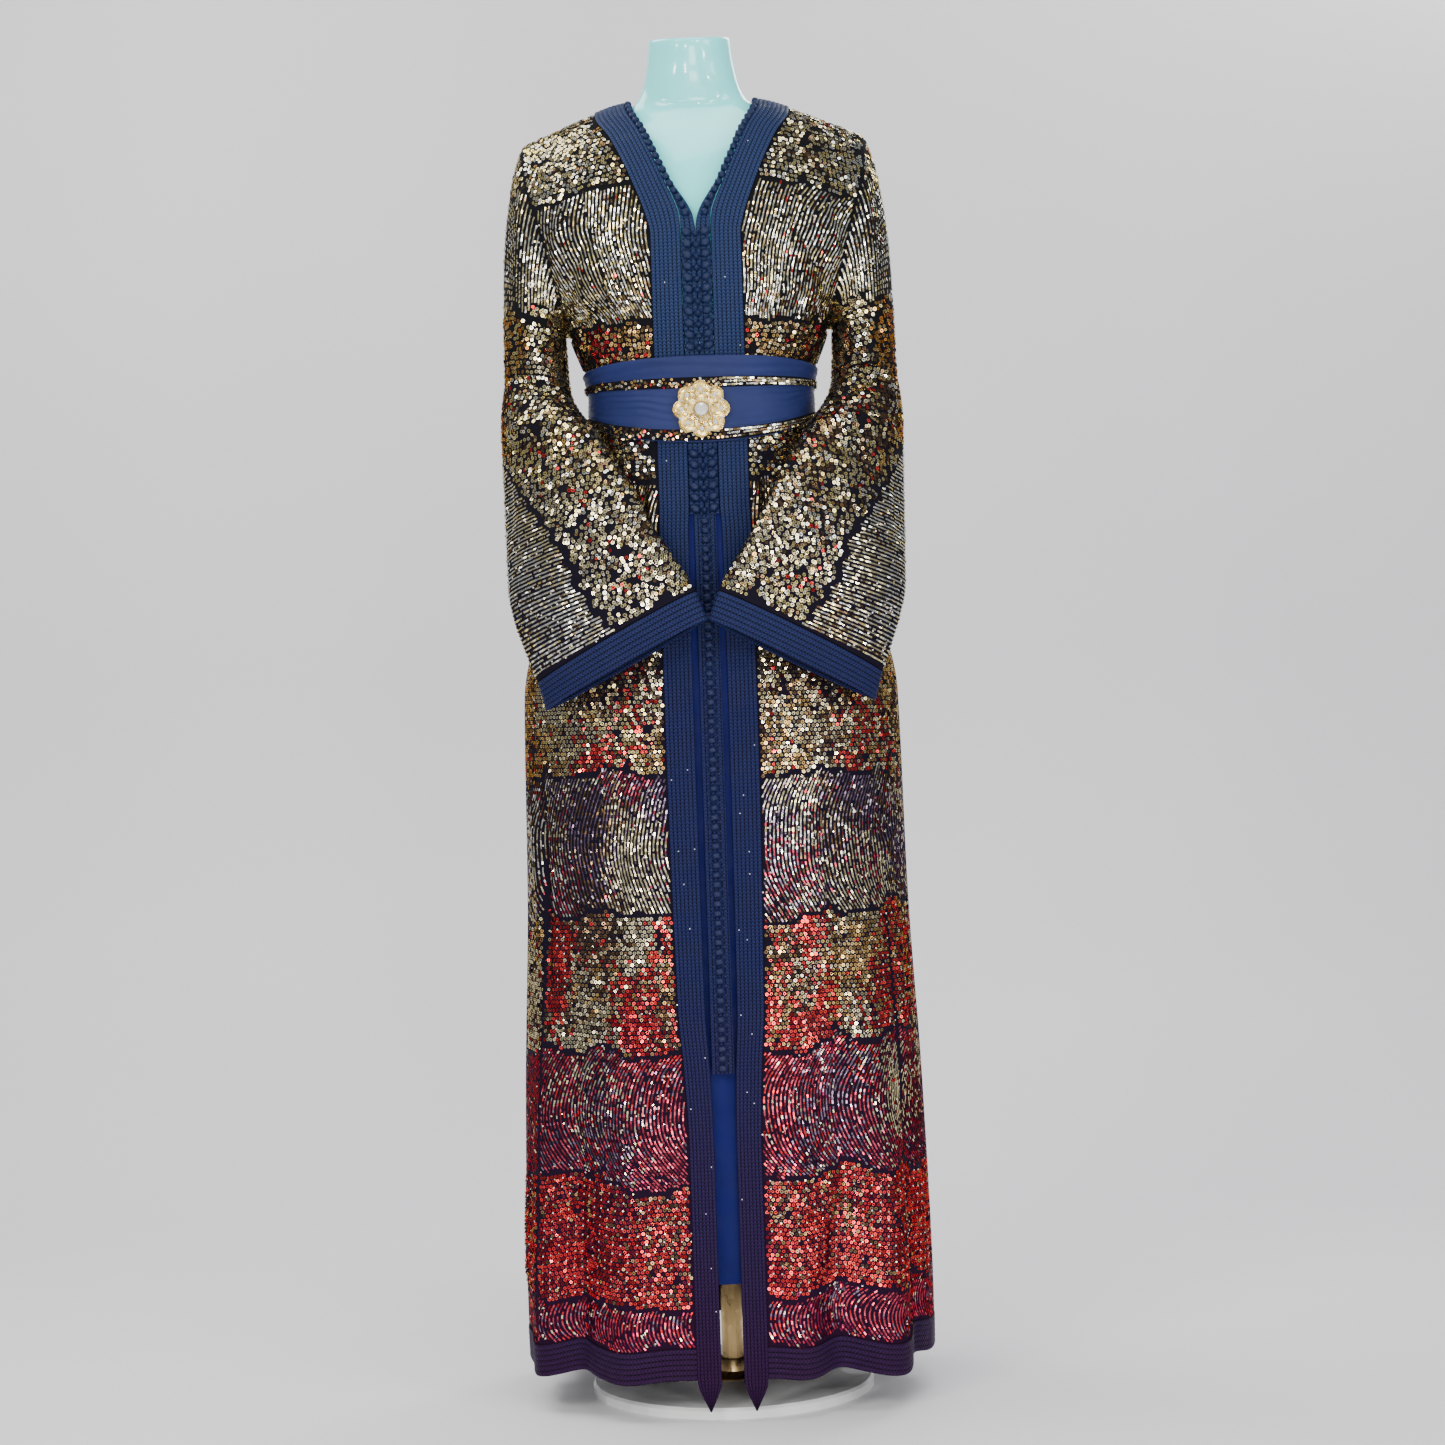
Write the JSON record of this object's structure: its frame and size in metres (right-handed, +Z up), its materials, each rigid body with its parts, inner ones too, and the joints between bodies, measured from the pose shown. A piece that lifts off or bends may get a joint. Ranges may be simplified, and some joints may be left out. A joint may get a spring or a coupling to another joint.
{
  "type": "moroccan kaftan on a dress form",
  "caption": "Long front-opening kaftan in sequined cloth with navy braid, wide sleeves and a jewelled satin belt, worn by a limbless dress form on a round base.",
  "frame": {"origin": "centre of the base plate's underside, under the pole", "axes": "+Z up, the kaftan faces -Y, the wearer's left side is +X"},
  "size_m": [0.4749, 0.3895, 1.5881],
  "materials": {
    "sequined_cloth": "dark net covered with champagne, gold, copper and coral sequins",
    "navy_braid": "matt navy braid with a herringbone weave and corded knots",
    "royal_blue_cloth": "plain royal blue lining cloth",
    "belt_satin": "pleated royal blue satin",
    "gold_metal": "polished gold filigree",
    "clear_stone": "clear domed stone",
    "pale_gloss_shell": "pale mint gloss shell",
    "brass_pole": "satin brass tube",
    "white_painted_metal": "white powder coat"
  },
  "bodies": {
    "root": {"back": "sequined_cloth", "front_left": "sequined_cloth", "front_right": "sequined_cloth", "sleeve_left": "sequined_cloth", "sleeve_right": "sequined_cloth", "cuff_left": "navy_braid", "cuff_right": "navy_braid", "sfifa_left": "navy_braid", "sfifa_right": "navy_braid", "sfifa_back_neck": "navy_braid", "hem_left": "navy_braid", "hem_right": "navy_braid", "hem_back": "navy_braid", "knots_left": "navy_braid", "knots_right": "navy_braid", "knot_strip": "navy_braid", "lining": "royal_blue_cloth", "belt": "belt_satin", "belt_sequin_upper": "sequined_cloth", "belt_sequin_lower": "sequined_cloth", "buckle": "gold_metal", "buckle_stone": "clear_stone", "form_torso": "pale_gloss_shell", "form_pole": "brass_pole", "form_base": "white_painted_metal"}
  },
  "joints": []
}
